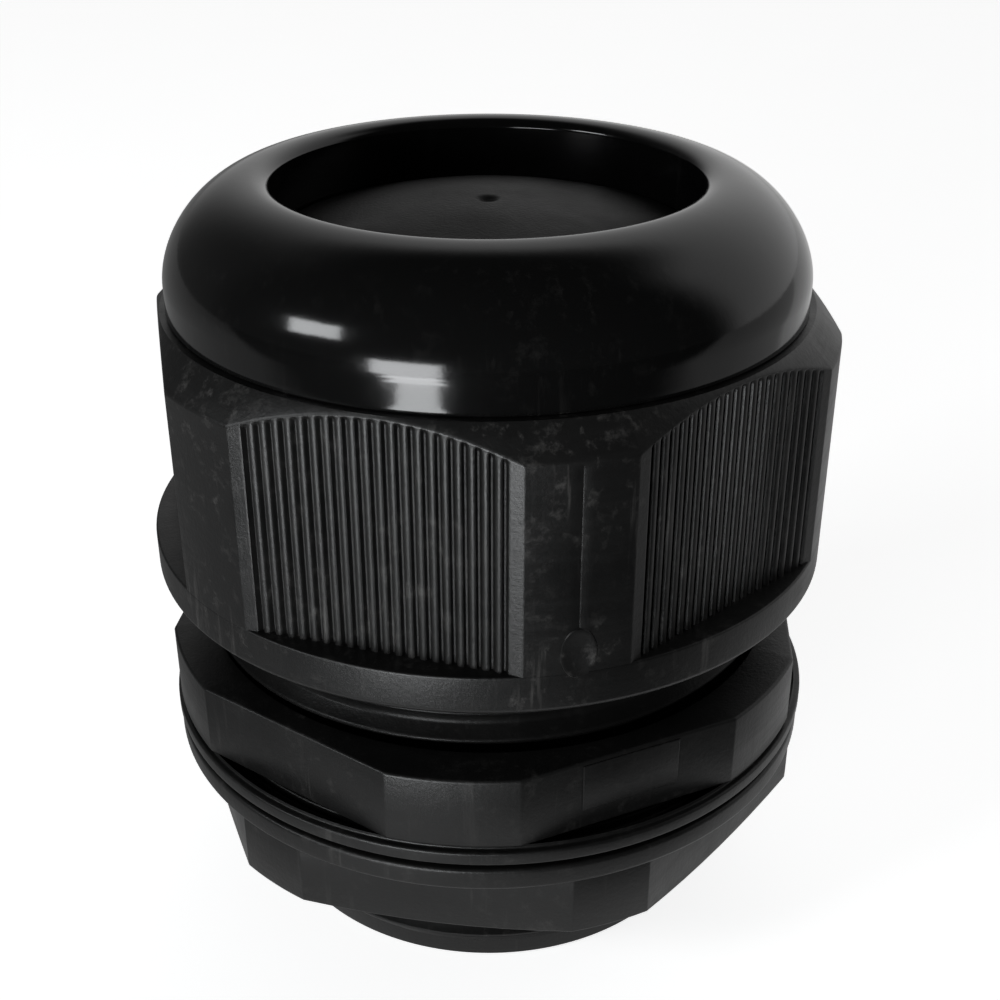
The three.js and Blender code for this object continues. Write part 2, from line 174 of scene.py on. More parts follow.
def new_object(name, vertices, faces, sharp_deg=32):
    """A smooth-shaded mesh object with sharp edges kept, from millimetre vertices."""
    mesh = bpy.data.meshes.new(name)
    mesh.from_pydata([(x * MM, y * MM, z * MM) for x, y, z in vertices], [], faces)
    mesh.validate()
    mesh.update()
    mesh.shade_smooth()
    mesh.set_sharp_from_angle(angle=radians(sharp_deg))
    made = bpy.data.objects.new(name, mesh)
    bpy.context.scene.collection.objects.link(made)
    return made


class Shell:
    """Collects vertices and faces of several grids for one object."""

    def __init__(self):
        self.vertices = []
        self.faces = []

    def grid(self, rows, closed=True):
        """Joins rows of points with quads. Rows go up or outwards, points go counter-clockwise."""
        width = len(rows[0])
        start = len(self.vertices)
        for row in rows:
            self.vertices.extend(row)
        for j in range(len(rows) - 1):
            for i in range(width if closed else width - 1):
                a = start + j * width + i
                b = start + j * width + (i + 1) % width
                self.faces.append((a, b, b + width, a + width))

    def fan(self, centre, ring):
        """Closes a ring of points with triangles to one centre point."""
        start = len(self.vertices)
        self.vertices.append(centre)
        self.vertices.extend(ring)
        for i in range(len(ring)):
            self.faces.append((start, start + 1 + i, start + 1 + (i + 1) % len(ring)))

    def lathe(self, profile, steps=TURN_STEPS):
        """Turns a profile of (radius, height) points around the Z axis."""
        self.grid([ring(radius, height, steps) for radius, height in profile])

    def object(self, name, sharp_deg=32):
        return new_object(name, self.vertices, self.faces, sharp_deg)


def at(radius, angle_deg, height):
    """A point by radius, angle from -Y towards +X, and height."""
    a = radians(angle_deg)
    return (radius * sin(a), -radius * cos(a), height)


def ring(radius, height, steps=TURN_STEPS):
    return [at(radius, 360 * i / steps, height) for i in range(steps)]


def arc(radius, height, width, rise, start_deg, end_deg, steps, fullness=2.0):
    """Profile points on an elliptical arc around (radius, height). Fullness 2 is an ellipse."""
    points = []
    for i in range(steps + 1):
        a = radians(start_deg + (end_deg - start_deg) * i / steps)
        across = copysign(abs(cos(a)) ** (2 / fullness), cos(a))
        up = copysign(abs(sin(a)) ** (2 / fullness), sin(a))
        points.append((radius + width * across, height + rise * up))
    return points


def rounded(profile, size, steps=4):
    """Rounds each inner corner of an open profile by up to the given size."""
    out = [profile[0]]
    for before, corner, after in zip(profile, profile[1:], profile[2:]):
        into = Vector(before) - Vector(corner)
        away = Vector(after) - Vector(corner)
        cut = min(size, into.length * 0.45, away.length * 0.45)
        if cut < 1e-6 or into.angle(away, pi) > radians(172):
            out.append(corner)
            continue
        first = Vector(corner) + into.normalized() * cut
        last = Vector(corner) + away.normalized() * cut
        for k in range(steps + 1):
            t = k / steps
            blend = (1 - t) ** 2 * first + 2 * t * (1 - t) * Vector(corner) + t * t * last
            out.append(tuple(blend))
    out.append(profile[-1])
    return out


def smooth_step(low, high, value):
    """From 0 at low to 1 at high, easing in and out."""
    t = min(1, max(0, (value - low) / (high - low)))
    return t * t * (3 - 2 * t)


# ---- Hexagons ----


def hex_outline(flat, corner, turn, ribbed=False, seams=()):
    """
    Plan points of a hexagon with rounded corner faces, counter-clockwise from -Y, as
    (x, y, groove depth). A corner in seams gets a fine mould line down its middle.
    """
    half = 30 - degrees(acos(flat / corner))
    width = sqrt(corner**2 - flat**2)
    points = []
    for k in range(6):
        middle = turn + 60 * k
        for t in corner_stations(k in seams):
            x, y, _ = at(corner, middle + half * t, 0)
            points.append((x, y, SEAM_DEPTH if t == 0 and k in seams else 0))
        normal = Vector(at(1, middle + 30, 0))
        along = Vector(at(1, middle + 120, 0))
        for s in flat_stations(width, ribbed):
            spot = normal * flat + along * s
            points.append((spot.x, spot.y, rib_depth(s) if ribbed else 0))
    return points


def corner_stations(with_seam):
    """Places across a corner face, from -1 to 1, closer together at its edges."""
    half, half_seam = 7, 0.025
    stations = [sin(pi / 2 * (i / half - 1)) for i in range(2 * half + 1)]
    if with_seam:
        stations = [t for t in stations if abs(t) > 2 * half_seam] + [-half_seam, 0, half_seam]
    return sorted(stations)


def flat_stations(width, ribbed):
    """Distances along a flat at which its outline is sampled."""
    edge, half = 0.12, 4
    if not ribbed:
        inner = width - edge
        return [-inner] + [inner * (i / half - 1) for i in range(1, 2 * half)] + [inner]
    spots = {round(edge - width, 4), round(width - edge, 4)}
    for i in range(RIB_COUNT + 1):
        middle = (i - RIB_COUNT / 2) * RIB_PITCH
        for d in (0, 0.08, 0.14, 0.20, 0.27, 0.35, 0.45):
            spots.update({round(middle - d, 4), round(middle + d, 4)})
    return sorted(spots)


def rib_depth(s):
    """How deep the surface lies under the flat: dark grooves between round ribs."""
    beside = abs(s) - RIB_COUNT / 2 * RIB_PITCH
    nearest = abs(s - round(s / RIB_PITCH) * RIB_PITCH) if beside < 0 else beside
    wall = 1 - smooth_step(0.06, 0.30, nearest)
    crown = 0.07 * (1 - smooth_step(0.27, 0.50, nearest)) if beside < 0 else 0
    return GROOVE_DEPTH * wall + crown * (1 - wall)


def grooved(outline, share, height):
    """The outline at a height, with a share of the grooves' depth."""
    points = []
    for x, y, depth in outline:
        scale = 1 - share * depth / hypot(x, y)
        points.append((x * scale, y * scale, height(hypot(x, y))))
    return points


def moved_in(outline, inset, height):
    """The outline moved straight towards the axis by an inset, at a height for each radius."""
    points = []
    for x, y, _ in outline:
        r = hypot(x, y)
        points.append((x * (1 - inset / r), y * (1 - inset / r), height(r)))
    return points


def to_ring(outline, radius, height):
    """The outline's directions, all at one radius."""
    return [(x * radius / hypot(x, y), y * radius / hypot(x, y), height) for x, y, _ in outline]


def hex_band(shell, outline, bottom, top, edge, inner_bottom, inner_top):
    """The side of a hexagon with softened edges, and its two faces in to the given radii."""
    rows = [to_ring(outline, inner_bottom, bottom(0))]
    for t in (90, 60, 30, 0):
        inset, rise = edge * (1 - cos(radians(t))), edge * (1 - sin(radians(t)))
        rows.append(moved_in(outline, inset, lambda r: bottom(r) + rise))
    for t in (0, 30, 60, 90):
        inset, drop = edge * (1 - cos(radians(t))), edge * (1 - sin(radians(t)))
        rows.append(moved_in(outline, inset, lambda r: top - drop))
    rows.append(to_ring(outline, inner_top, top))
    shell.grid(rows)


# ---- Threads ----


def thread(shell, profile, pitch, bottom, top, envelope, inside=False, steps=96):
    """
    A right-handed helical surface between two heights. The profile holds (radius, height)
    points over one pitch. The envelope gives the largest radius at a height, or the smallest
    one for an inside thread.
    """
    turns_below = floor(bottom / pitch) - 2
    turns = ceil(top / pitch) + 1 - turns_below
    rows = []
    for j in range(turns):
        for radius, rise in profile:
            row = []
            for k in range(steps + 1):
                z = (turns_below + j + k / steps) * pitch + rise
                z = min(top, max(bottom, z))
                r = max(radius, envelope(z)) if inside else min(radius, envelope(z))
                a = 2 * pi * k / steps
                row.append((r * cos(a), r * sin(a), z))
            rows.append(row)
    shell.grid(rows, closed=False)


def profile_of(thread_size, clearance=0.0, crest_flat=0.2, root_flat=0.2):
    """One pitch of a rounded trapezoid thread."""
    root = thread_size["root"] + clearance
    crest = thread_size["crest"] + clearance
    pitch = thread_size["pitch"]
    flank = (1 - crest_flat - root_flat) / 2
    depth = crest - root
    points = []
    for share, level in (
        (0.0, 0.0),
        (root_flat * 0.35, 0.0),
        (root_flat * 0.5 + 0.10 * flank, 0.10),
        (root_flat * 0.5 + 0.90 * flank, 0.86),
        (root_flat * 0.5 + flank + 0.12 * crest_flat, 0.97),
        (0.5, 1.0),
    ):
        points.append((share * pitch, root + depth * level))
    mirrored = [(pitch - z, r) for z, r in points[1:-1]][::-1]
    return [(r, z) for z, r in points + mirrored]


# ---- Pieces ----


def make_body():
    """The body up to the top of its hexagon: pilot, entry thread, flange, hexagon and bore."""
    shell = Shell()
    thread_start = entry_end + PILOT_LENGTH

    def entry_envelope(z):
        return PILOT_RADIUS + max(0, z - thread_start)

    thread(shell, profile_of(ENTRY), ENTRY["pitch"], thread_start, gasket_top, entry_envelope)
    bore_end = entry_end + BORE_CHAMFER_HEIGHT
    pilot = [
        (BODY_BORE, bore_end),
        (BODY_BORE + BORE_CHAMFER_WIDTH, entry_end),
        (PILOT_RADIUS, entry_end),
        (PILOT_RADIUS, thread_start),
    ]
    shell.lathe(rounded(pilot, 0.15))

    pocket = GASKET_OUT + GAP
    groove = FLANGE - FLANGE_GROOVE_DEPTH
    underside = [
        (ENTRY["root"], gasket_top),
        (pocket, gasket_top),
        (pocket, FLANGE_BOTTOM),
        (FLANGE, FLANGE_BOTTOM),
        (FLANGE, FLANGE_TOP),
        (groove, FLANGE_TOP),
        (groove, HEX_BOTTOM),
    ]
    shell.lathe(rounded(underside, 0.28))

    outline = hex_outline(BODY_FLAT, BODY_CORNER, 0)
    hex_band(shell, outline, lambda r: HEX_BOTTOM, HEX_TOP, HEX_EDGE, HEX_FOOT_RADIUS, NECK["root"])
    shell.lathe([(BODY_BORE, SEAT), (BODY_BORE, bore_end)])
    return shell.object("body_moulding")


def make_neck():
    """The threaded neck above the body's hexagon, with the counterbore that holds the claw."""
    shell = Shell()

    def neck_envelope(z):
        taper = max(0, z - (neck_top - NECK_TAPER_HEIGHT))
        return NECK["crest"] - taper * NECK_TAPER_SLOPE

    neck_profile = profile_of(NECK, 0, NECK_CREST_FLAT, NECK_ROOT_FLAT)
    thread(shell, neck_profile, NECK["pitch"], HEX_TOP, neck_top, neck_envelope)
    inside = [
        (NECK["root"] - TUCK, neck_top),
        (CLAW_BORE, neck_top),
        (CLAW_BORE, SEAT),
        (BODY_BORE, SEAT),
    ]
    shell.lathe(rounded(inside, 0.2))
    return shell.object("body_neck")


def make_gasket():
    """The flat washer under the flange, with softened edges."""
    shell = Shell()
    middle = (gasket_bottom + gasket_top) / 2
    profile = [
        (GASKET_IN, middle),
        (GASKET_IN, gasket_bottom),
        (GASKET_OUT, gasket_bottom),
        (GASKET_OUT, gasket_top),
        (GASKET_IN, gasket_top),
        (GASKET_IN, middle),
    ]
    shell.lathe(rounded(profile, 0.2))
    return shell.object("gasket_washer")


def make_lock_nut():
    """The hexagon with its chamfered underside, the round collar above, and the inside thread."""
    shell = Shell()
    collar_bottom = lock_top - LOCK_COLLAR_HEIGHT
    outline = hex_outline(LOCK_FLAT, LOCK_CORNER, LOCK_TURN)
    mouth = ENTRY["crest"] + GAP + LOCK_LEAD_IN
    foot = LOCK_CORNER - LOCK_CHAMFER_WIDTH
    slope = LOCK_CHAMFER_RISE / LOCK_CHAMFER_WIDTH

    def underside(r):
        return lock_bottom + max(0, r - foot) * slope

    shell.lathe([(mouth, lock_bottom), (foot, lock_bottom)])
    hex_top = collar_bottom + LOCK_HEX_TUCK
    hex_band(shell, outline, underside, hex_top, HEX_EDGE, foot, LOCK_FLAT - LOCK_HEX_END)
    collar = [
        (LOCK_FLAT - LOCK_COLLAR_FOOT, collar_bottom),
        (LOCK_COLLAR, collar_bottom),
        (LOCK_COLLAR, lock_top),
        (mouth, lock_top),
    ]
    shell.lathe(rounded(collar, 0.45, 5))

    def envelope(z):
        below = lock_bottom + mouth - ENTRY["root"] - z
        above = z - (lock_top - mouth + ENTRY["root"])
        return ENTRY["root"] + max(0, below, above)

    profile = profile_of(ENTRY, GAP)
    thread(shell, profile, ENTRY["pitch"], lock_bottom, lock_top, envelope, inside=True)
    return shell.object("lock_nut_moulding")


def make_claw():
    """Slotted ring: a full base ring, and fingers with bevelled tips above it."""
    shell = Shell()
    base_top = claw_bottom + CLAW_BASE_HEIGHT
    finger_foot = base_top - 0.2
    base = [
        (CLAW_IN, base_top),
        (CLAW_IN, claw_bottom),
        (CLAW_OUT, claw_bottom),
        (CLAW_OUT, base_top),
        (CLAW_IN, base_top),
    ]
    shell.lathe(rounded(base, 0.25))
    pitch = 360 / CLAW_FINGERS
    half_slot = degrees(CLAW_HALF_SLOT / CLAW_OUT)
    section = rounded(
        [
            (CLAW_IN, finger_foot),
            (CLAW_OUT, finger_foot),
            (CLAW_OUT, claw_top - CLAW_TIP_BEVEL),
            (CLAW_OUT - CLAW_TIP_BEVEL, claw_top),
            (CLAW_IN, claw_top),
            (CLAW_IN, finger_foot),
        ],
        0.2,
    )[:-1]
    steps = 8
    for k in range(CLAW_FINGERS):
        start = pitch * k - 90 + half_slot
        span = pitch - 2 * half_slot
        first = len(shell.vertices)
        angles = [start + span * i / steps for i in range(steps + 1)]
        shell.grid([[at(r, angle, z) for r, z in section] for angle in angles])
        last = len(shell.vertices) - len(section)
        shell.faces.append(tuple(range(last, last + len(section)))[::-1])
        shell.faces.append(tuple(range(first, first + len(section))))
    return shell.object("claw_moulding")


def make_seal():
    """The rubber sleeve. Its upper edge is bevelled to clear the nut's cone when that is tight."""
    shell = Shell()
    middle = (seal_bottom + seal_top) / 2
    profile = [(SEAL_IN, middle), (SEAL_IN, seal_bottom), (SEAL_OUT, seal_bottom)]
    profile += [(SEAL_OUT, seal_top - SEAL_BEVEL), (SEAL_OUT - SEAL_BEVEL, seal_top)]
    profile += [(SEAL_IN, seal_top), (SEAL_IN, middle)]
    shell.lathe(rounded(profile, 0.6, 6))
    return shell.object("seal_sleeve")


def make_disc():
    """The blanking disc: a flat rim, and a shallow dome with a dimple in its middle."""
    shell = Shell()
    rim_top = disc_bottom + DISC_RIM_HEIGHT
    foot = rim_top + DISC_STEP

    def surface(r):
        dimple = DIMPLE_DEPTH * (1 - smooth_step(0.2, 1.0, r / DIMPLE_RADIUS))
        return DISC_CROWN - (DISC_CROWN - foot) * (r / DISC_DOME) ** 2 - dimple

    top = [(r, surface(r)) for r in (0.12, 0.35, 0.6, 0.85, 1.1, 1.35, 1.7)]
    outer = [DISC_DOME * i / DISC_RINGS for i in range(2, DISC_RINGS + 1)]
    top += [(r, surface(r)) for r in outer]
    rim = [(DISC_DOME, foot), (DISC_DOME, rim_top), (DISC_RIM, rim_top), (DISC_RIM, disc_bottom)]
    hollow = DISC_DOME - DISC_THICKNESS
    rim += [(hollow, disc_bottom)]
    inner = [hollow - i * DISC_UNDER_STEP for i in range(DISC_UNDER_RINGS)]
    under = [(r, surface(r) - DISC_THICKNESS) for r in inner]
    profile = top + rounded(rim, 0.25)[1:] + under
    shell.lathe(profile[::-1])
    shell.fan((0, 0, surface(0)), ring(*top[0]))
    shell.fan((0, 0, under[-1][1]), ring(*under[-1])[::-1])
    return shell.object("disc_moulding", 60)


def nut_side(outline):
    """Ribbed sides whose grooves run out just under the sloping shoulder."""

    def top(r):
        return LEDGE - max(0, r - LEDGE_RADIUS)

    rows = [grooved(outline, 1, lambda r: COLLAR_TOP - TUCK)]
    for share, drop in ((1, 0.75), (0.9, 0.55), (0.6, 0.38), (0.2, 0.25), (0, 0.17)):
        rows.append(grooved(outline, share, lambda r: top(r) - drop))
    for inset, rise in ((0.035, -0.06), (0.09, 0.03), (0.14, 0.12)):
        rows.append(moved_in(outline, inset, lambda r: min(LEDGE - 0.005, top(r) + rise)))
    rows.append(to_ring(outline, LEDGE_RADIUS, LEDGE))
    return rows


def make_dome_nut():
    """The nut: collar skirt, ribbed hexagon, dome, rolled lip, disc pocket, cone and thread."""
    shell = Shell()
    mouth = NECK["crest"] + GAP
    skirt = [
        (mouth - 0.2, nut_bottom + NUT_LEAD_IN_HEIGHT),
        (mouth + NUT_LEAD_IN, nut_bottom),
        (NUT_CORNER - NUT_CHAMFER_WIDTH, nut_bottom),
        (NUT_CORNER, nut_bottom + NUT_CHAMFER_HEIGHT),
        (NUT_CORNER, COLLAR_TOP),
        (NUT_FLAT - NUT_COLLAR_FOOT, COLLAR_TOP),
    ]
    shell.lathe(rounded(skirt, 0.22))

    outline = hex_outline(NUT_FLAT, NUT_CORNER, NUT_TURN, True, (0, 3))
    shell.grid(nut_side(outline))

    dome = [(LEDGE_RADIUS, LEDGE)]
    dome += arc(DOME_RADIUS - DOME_EDGE, LEDGE + DOME_EDGE, DOME_EDGE, DOME_EDGE, -90, 0, 6)
    dome += [(DOME_RADIUS, LEDGE + height) for height in DOME_FOOT_HEIGHTS]
    dome_width = DOME_RADIUS - CROWN_RADIUS
    dome += arc(CROWN_RADIUS, DOME_SPRING, dome_width, DOME_RISE, 0, 90, 40, DOME_FULLNESS)
    lip_width = CROWN_RADIUS - NUT_BORE
    dome += arc(CROWN_RADIUS, nut_top - LIP_DROP, lip_width, LIP_DROP, 90, 180, 14)[1:]
    pocket = DISC_RIM + GAP
    pocket_bottom = LIP_UNDERSIDE - POCKET_HEIGHT
    thread_end = THREAD_TOP - THREAD_TUCK
    below = [
        (NUT_BORE, nut_top - LIP_DROP),
        (NUT_BORE, LIP_UNDERSIDE),
        (pocket, LIP_UNDERSIDE),
        (pocket, pocket_bottom),
        (pocket - SNAP_BEAD, pocket_bottom - SNAP_BEAD),
        (NECK["root"] - GAP, THREAD_TOP + GAP),
        (NECK["root"] - GAP, thread_end),
        (NECK["root"] + GAP, thread_end),
    ]
    shell.lathe(dome + rounded(below, 0.2)[1:])

    def envelope(z):
        return NECK["root"] + GAP + max(0, nut_bottom + NUT_THREAD_START - z)

    profile = profile_of(NECK, GAP, NECK_CREST_FLAT, NECK_ROOT_FLAT)
    thread(shell, profile, NECK["pitch"], nut_bottom, THREAD_TOP, envelope, inside=True)
    return shell.object("dome_nut_moulding")


def make_badge():
    """A plain raised oval near the foot of the nut's front corner, with nothing written on it."""
    shell = Shell()
    steps = 48
    rows = []
    for grow, proud in ((1.0, 0.0), (0.97, 0.10), (0.86, 0.11), (0.78, 0.05), (0.02, 0.05)):
        row = []
        for i in range(steps):
            t = 2 * pi * i / steps
            across = OVAL_HALF_WIDTH * grow * cos(t)
            up = OVAL_HALF_HEIGHT * grow * sin(t)
            angle = NUT_TURN + degrees(across / NUT_CORNER)
            row.append(at(NUT_CORNER + proud, angle, OVAL_HEIGHT + up))
        rows.append(row)
    shell.grid(rows)
    return shell.object("nut_oval_mark", 50)


def make_pad():
    """A blank raised pad on one flat of the body."""
    shell = Shell()
    middle, half_height = (PAD_BOTTOM + PAD_TOP) / 2, (PAD_TOP - PAD_BOTTOM) / 2
    normal = Vector(at(1, PAD_ANGLE, 0))
    along = Vector(at(1, PAD_ANGLE + 90, 0))
    rows = []
    for inset, proud in ((0.0, -0.05), (0.02, 0.10), (0.12, 0.15), (PAD_HALF_WIDTH - 0.2, 0.16)):
        row = []
        for sx, sz in ((-1, -1), (1, -1), (1, 1), (-1, 1)):
            s = sx * max(0, PAD_HALF_WIDTH - inset)
            z = middle + sz * max(0, half_height - inset)
            spot = normal * (BODY_FLAT + proud) + along * s
            row.append((spot.x, spot.y, z))
        rows.append(row)
    shell.grid(rows)
    return shell.object("body_blank_pad", 30)


# ---- Materials ----


class Nodes:
    """A short way to build a node tree."""

    def __init__(self, name):
        self.material = bpy.data.materials.new(name)
        self.material.use_nodes = True
        self.tree = self.material.node_tree
        self.tree.nodes.clear()

    def add(self, kind, **settings):
        """A new node. Each setting is one of its own properties."""
        node = self.tree.nodes.new(kind)
        for key, value in settings.items():
            setattr(node, key, value)
        return node

    def link(self, value, node, socket):
        self.tree.links.new(value, node.inputs[socket])

    def place(self):
        return self.add("ShaderNodeTexCoord").outputs["Object"]

    def axes(self, place):
        node = self.add("ShaderNodeSeparateXYZ")
        self.link(place, node, "Vector")
        return node.outputs

    def noise(self, place, scale, detail, roughness):
        """Noise from 0 to 1. The scale is in cells per metre."""
        node = self.add("ShaderNodeTexNoise")
        node.inputs["Scale"].default_value = scale
        node.inputs["Detail"].default_value = detail
        node.inputs["Roughness"].default_value = roughness
        self.link(place, node, "Vector")
        return node.outputs["Fac"]

    def spread(self, value, low, high, to_low, to_high):
        """Maps a value range to another, clamped."""
        node = self.add("ShaderNodeMapRange")
        self.link(value, node, "Value")
        node.inputs["From Min"].default_value = low
        node.inputs["From Max"].default_value = high
        node.inputs["To Min"].default_value = to_low
        node.inputs["To Max"].default_value = to_high
        return node.outputs["Result"]

    def math(self, operation, first, second):
        """A sum, product or other result of two numbers or sockets."""
        node = self.add("ShaderNodeMath", operation=operation)
        for socket, value in zip(node.inputs, (first, second)):
            if isinstance(value, (int, float)):
                socket.default_value = value
            else:
                self.tree.links.new(value, socket)
        return node.outputs["Value"]

    def times(self, first, second):
        return self.math("MULTIPLY", first, second)

    def plus(self, first, second):
        return self.math("ADD", first, second)

    def mix_colour(self, factor, first, second):
        """From the first colour to the second, each a tuple or a socket."""
        node = self.add("ShaderNodeMix", data_type="RGBA")
        self.link(factor, node, "Factor")
        first_colour, second_colour, result = 6, 7, 2  # the node's colour sockets
        for socket, value in ((first_colour, first), (second_colour, second)):
            if isinstance(value, tuple):
                node.inputs[socket].default_value = value
            else:
                self.link(value, node, socket)
        return node.outputs[result]

    def finish(self, tone, roughness, relief, strength, shine):
        """Ends the tree in a principled shader with bump, and returns the material."""
        bump = self.add("ShaderNodeBump")
        bump.inputs["Strength"].default_value = strength
        bump.inputs["Distance"].default_value = BUMP_DISTANCE
        self.link(relief, bump, "Height")
        shader = self.add("ShaderNodeBsdfPrincipled")
        shader.inputs["Specular IOR Level"].default_value = shine
        self.link(tone, shader, "Base Color")
        self.link(roughness, shader, "Roughness")
        self.link(bump.outputs["Normal"], shader, "Normal")
        self.link(shader.outputs["BSDF"], self.add("ShaderNodeOutputMaterial"), "Surface")
        return self.material


def grey(level, warmth=0.0):
    """A linear grey. Warmth shifts it from blue to red."""
    return (level * (1 + warmth), level, level * (1 - warmth), 1)


def stretched(nodes, place, across, up):
    """Coordinates for noise of scale 1, with cells per metre across and up the gland."""
    mapping = nodes.add("ShaderNodeMapping")
    mapping.inputs["Scale"].default_value = (across, across, up)
    nodes.link(place, mapping, "Vector")
    return mapping.outputs["Vector"]


def plastic(name, colour, dusty, rough_low, rough_high, scuffs, shine, gloss_from=None):
    """
    Moulded black nylon: flow mottling, fine grain, dusty scuffs and thin rubbed lines. Above
    the height gloss_from, in millimetres, the skin is polished, darker and nearly clean.
    """
    nodes = Nodes(name)
    place = nodes.place()
    cloud = nodes.noise(place, 90, 5, 0.6)
    grains = nodes.noise(place, 2600, 3, 0.6)
    dust = nodes.noise(place, 520, 8, 0.75)
    streaks = nodes.noise(stretched(nodes, place, 900, 60), 1, 4, 0.6)
    rubbed = nodes.noise(stretched(nodes, place, 70, 1500), 1, 5, 0.65)

    satin = 1
    if gloss_from is not None:
        height = nodes.axes(place)["Z"]
        satin = nodes.spread(height, gloss_from * MM, (gloss_from + GLOSS_FADE) * MM, 1, 0)

    def on_satin(value, left_on_gloss):
        """The value on satin skin, and the share of it that is left on the polished skin."""
        return nodes.times(value, nodes.plus(nodes.times(satin, 1 - left_on_gloss), left_on_gloss))

    patch = nodes.spread(cloud, 0.42, 0.68, 0.15, 1)
    specks = nodes.times(nodes.spread(dust, 0.54, 0.72, 0, 1), patch)
    lines = nodes.times(nodes.spread(streaks, 0.60, 0.72, 0, 1), patch)
    wear = nodes.times(nodes.math("MAXIMUM", specks, lines), scuffs)
    wear = on_satin(wear, 0.12)
    dark, light = grey(colour * 0.75), grey(colour * 1.3, 0.03)
    tone = nodes.mix_colour(nodes.spread(cloud, 0.3, 0.7, 0, 1), dark, light)
    if gloss_from is not None:
        tone = nodes.mix_colour(satin, grey(GLOSS_COLOUR), tone)
    tone = nodes.mix_colour(wear, tone, grey(dusty, 0.04))

    roughness = nodes.spread(cloud, 0.3, 0.7, rough_low, rough_high)
    roughness = nodes.plus(roughness, nodes.spread(rubbed, 0.45, 0.7, 0, 0.06))
    if gloss_from is not None:
        polished = nodes.spread(cloud, 0.3, 0.7, *GLOSS_ROUGHNESS)
        extra = nodes.math("SUBTRACT", roughness, polished)
        roughness = nodes.plus(polished, nodes.times(extra, satin))
    roughness = nodes.plus(roughness, nodes.times(wear, 0.2))

    relief = nodes.plus(nodes.times(grains, 0.5), nodes.times(streaks, 0.35))
    relief = nodes.plus(on_satin(relief, 0.06), nodes.times(cloud, 0.5))
    return nodes.finish(tone, roughness, relief, 0.5, shine)


def rubber(name, colour, rough, shine):
    """Matte rubber with a pebbled skin and a faint powdery bloom."""
    nodes = Nodes(name)
    place = nodes.place()
    bloom = nodes.noise(place, 75, 6, 0.65)
    pebble = nodes.noise(place, 3200, 2, 0.5)
    bloomed = nodes.spread(bloom, 0.35, 0.7, 0, 1)
    tone = nodes.mix_colour(bloomed, grey(colour * 0.6), grey(colour * 2.4, 0.02))
    roughness = nodes.spread(bloom, 0.3, 0.7, rough - 0.12, rough + 0.12)
    relief = nodes.plus(pebble, nodes.times(bloom, 1.5))
    return nodes.finish(tone, roughness, relief, 0.35, shine)


def floor_material():
    """
    White paper on a darker table. The camera sees all of it white, with the gland's shadow.
    What the gland reflects is the paper beside and behind it, with painted shade on it to the front
    right and on the left, and the table in front.
    """
    nodes = Nodes("pale_floor")
    place = nodes.place()
    paper = nodes.mix_colour(nodes.noise(place, 30, 4, 0.5), grey(0.80), grey(0.84))
    axes = nodes.axes(place)
    x, y = axes["X"], axes["Y"]
    front_right = nodes.times(nodes.math("SUBTRACT", x, y), sqrt(0.5))
    beside = nodes.plus(y, nodes.times(x, PAPER_BESIDE_SLOPE))
    # Painted shade on the paper: dark beyond a diagonal to the front right, except nearly beside
    # the gland.
    lit = nodes.math(
        "MAXIMUM",
        nodes.spread(front_right, *PAPER_SHADE_EDGE, 1, PAPER_SHADE_LEVEL),
        nodes.spread(beside, *PAPER_BESIDE_EDGE, 0, PAPER_BESIDE_LEVEL),
    )
    lit_paper = nodes.times(nodes.spread(y, *PAPER_FRONT_EDGE, 0, 1), lit)
    # Painted shade: the paper is dimmer on the left.
    lit_paper = nodes.times(lit_paper, nodes.spread(x, *PAPER_LEFT_SHADE_EDGE, PAPER_LEFT_SHADE_LEVEL, 1))
    rays = nodes.add("ShaderNodeLightPath").outputs

    def surface(colour, glow):
        """A diffuse surface that also shines at the given strength."""
        diffuse = nodes.add("ShaderNodeBsdfDiffuse")
        nodes.link(colour, diffuse, "Color")
        light = nodes.add("ShaderNodeEmission")
        nodes.link(glow, light, "Strength")
        both = nodes.add("ShaderNodeAddShader")
        nodes.link(diffuse.outputs["BSDF"], both, 0)
        nodes.link(light.outputs["Emission"], both, 1)
        return both.outputs["Shader"]

    mirrored = nodes.math("MAXIMUM", rays["Is Glossy Ray"], rays["Is Transmission Ray"])
    # The glow that reflections see keeps the painted shade.
    glow = nodes.times(nodes.times(mirrored, lit_paper), PAPER_GLOW)
    around = surface(nodes.mix_colour(lit_paper, grey(TABLE_AND_SHADE_COLOUR), paper), glow)
    seen = surface(paper, nodes.times(rays["Is Camera Ray"], PAPER_WHITE))
    mix = nodes.add("ShaderNodeMixShader")
    nodes.link(rays["Is Camera Ray"], mix, "Fac")
    nodes.link(around, mix, 1)
    nodes.link(seen, mix, 2)
    nodes.link(mix.outputs["Shader"], nodes.add("ShaderNodeOutputMaterial"), "Surface")
    return nodes.material


# ---- Stage, light and camera ----


def make_floor():
    """A wide floor, a hair below the gland so that the two don't share a plane."""
    side, level = 3.0, -0.0002
    corners = ((-side, -side), (side, -side), (side, side), (-side, side))
    mesh = bpy.data.meshes.new("floor")
    mesh.from_pydata([(x, y, level) for x, y in corners], [], [(0, 1, 2, 3)])
    floor = bpy.data.objects.new("floor", mesh)
    bpy.context.scene.collection.objects.link(floor)
    mesh.materials.append(floor_material())


